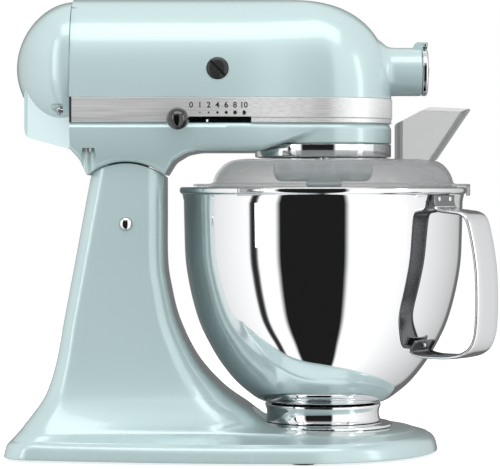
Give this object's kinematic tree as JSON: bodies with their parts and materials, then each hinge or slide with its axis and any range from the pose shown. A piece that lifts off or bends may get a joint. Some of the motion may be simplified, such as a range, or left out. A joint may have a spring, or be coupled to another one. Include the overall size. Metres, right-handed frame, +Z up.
{
  "type": "stand mixer",
  "caption": "Tilt-head kitchen stand mixer with a geared planetary drive, a twist-lock steel bowl with handle, and a clear pouring shield.",
  "frame": {"origin": "on the worktop, at the middle of the whole machine's plan box", "axes": "+X to the nose and attachment hub, +Z up; the speed lever is on the -Y side"},
  "size_m": [0.3738, 0.23, 0.353],
  "materials": {
    "paint": "glossy pale ice-blue enamel",
    "chrome": "bright plating",
    "polished_steel": "mirror-polished stainless steel",
    "brushed_band": "satin brushed along its length",
    "gear_steel": "machined steel",
    "casting": "bare casting",
    "bronze": "bronze",
    "copper": "copper windings and commutator",
    "black_plastic": "glossy black",
    "carbon": "carbon brush",
    "board": "phenolic board",
    "rubber": "matt rubber",
    "clear_plastic": "clear moulded plastic"
  },
  "bodies": {
    "base": {"pedestal": "paint", "rubber_foot_1": "rubber", "rubber_foot_2": "rubber", "rubber_foot_3": "rubber", "rubber_foot_4": "rubber", "rubber_foot_5": "rubber", "bowl_clamp_plate": "chrome", "clamp_plate_screw_1": "chrome", "clamp_plate_screw_2": "chrome", "hinge_pin": "chrome"},
    "head_lock": {"head_lock_lever": "black_plastic"},
    "head": {"upper_housing": "paint", "lower_housing": "paint", "rear_cover": "paint", "rear_cover_screw": "chrome", "trim_band": "brushed_band", "drip_ring": "chrome", "ring_gear": "gear_steel", "housing_screw_near": "chrome", "housing_screw_far": "chrome", "brush_cap_near": "black_plastic", "brush_cap_far": "black_plastic", "brush_holder_near": "bronze", "brush_holder_far": "bronze", "carbon_brush_near": "carbon", "carbon_brush_far": "carbon", "motor_field": "gear_steel", "rear_bearing_bracket": "casting", "rear_bearing": "gear_steel", "front_bearing": "gear_steel", "gearcase_bulkhead": "casting", "speed_control_plate": "board", "cord_inlet_bush": "black_plastic", "hub_bush": "bronze", "hub_cap_pin": "chrome", "lever_pivot_pin": "gear_steel"},
    "armature": {"armature_shaft": "gear_steel", "armature_core": "copper", "commutator": "copper", "cooling_fan": "black_plastic", "speed_governor": "board"},
    "lay_shaft": {"lay_shaft": "gear_steel", "worm_wheel": "bronze", "drive_pinion": "gear_steel"},
    "planetary": {"planetary": "paint", "centre_shaft": "gear_steel", "centre_gear": "gear_steel", "centre_bevel_gear": "gear_steel"},
    "agitator": {"agitator_shaft": "chrome", "planet_pinion": "gear_steel"},
    "hub_drive": {"hub_socket": "chrome", "hub_bevel_gear": "gear_steel"},
    "hub_cap": {"hub_cap": "chrome"},
    "attachment_knob": {"attachment_knob": "black_plastic"},
    "speed_lever": {"speed_lever": "chrome", "speed_knob": "black_plastic"},
    "bowl": {"bowl": "polished_steel", "bowl_foot_ring": "polished_steel", "bowl_handle": "polished_steel"},
    "pour_shield": {"pour_shield": "clear_plastic"}
  },
  "joints": [
    {"name": "head_tilt", "type": "hinge", "parent": "base", "child": "head", "pos_m": [-0.0947, 0, 0.1789], "axis": [0, -1, 0], "range_deg": [0, 45]},
    {"name": "head_lock_slide", "type": "slide", "parent": "base", "child": "head_lock", "axis": [1, 0, 0], "range_m": [-0.01, 0.004]},
    {"name": "bowl_twist", "type": "hinge", "parent": "base", "child": "bowl", "pos_m": [0.0572, 0, 0], "axis": [0, 0, 1], "range_deg": [0, 30]},
    {"name": "shield_turn", "type": "hinge", "parent": "bowl", "child": "pour_shield", "pos_m": [0.0572, 0, 0], "axis": [0, 0, 1], "range_deg": [-15, 15]},
    {"name": "planetary_spin", "type": "hinge", "parent": "head", "child": "planetary", "pos_m": [0.0572, 0, 0.22], "axis": [0, 0, 1], "continuous": true},
    {"name": "agitator_spin", "type": "hinge", "parent": "planetary", "child": "agitator", "pos_m": [0.0572, -0.027, 0.21], "axis": [0, 0, 1], "continuous": true},
    {"name": "lay_shaft_spin", "type": "hinge", "parent": "head", "child": "lay_shaft", "pos_m": [0.02, 0.027, 0.28], "axis": [0, 0, 1], "continuous": true},
    {"name": "armature_spin", "type": "hinge", "parent": "head", "child": "armature", "pos_m": [0, 0, 0.297], "axis": [1, 0, 0], "continuous": true},
    {"name": "hub_spin", "type": "hinge", "parent": "head", "child": "hub_drive", "pos_m": [0.1, 0, 0.297], "axis": [1, 0, 0], "continuous": true},
    {"name": "hub_cap_hinge", "type": "hinge", "parent": "head", "child": "hub_cap", "pos_m": [0.1366, 0, 0.3176], "axis": [0, -1, 0], "range_deg": [0, 95]},
    {"name": "attachment_knob_turn", "type": "hinge", "parent": "head", "child": "attachment_knob", "pos_m": [0.122, 0, 0.297], "axis": [0, 1, 0], "continuous": true},
    {"name": "speed_lever_swing", "type": "hinge", "parent": "head", "child": "speed_lever", "pos_m": [-0.0346, -0.0205, 0.2584], "axis": [0, 0, 1], "range_deg": [0, 40]}
  ],
  "couplings": [
    {"joint": "agitator_spin", "follows": "planetary_spin", "ratio": -4},
    {"joint": "lay_shaft_spin", "follows": "planetary_spin", "ratio": -4},
    {"joint": "armature_spin", "follows": "planetary_spin", "ratio": 40},
    {"joint": "hub_spin", "follows": "planetary_spin", "ratio": 2}
  ]
}
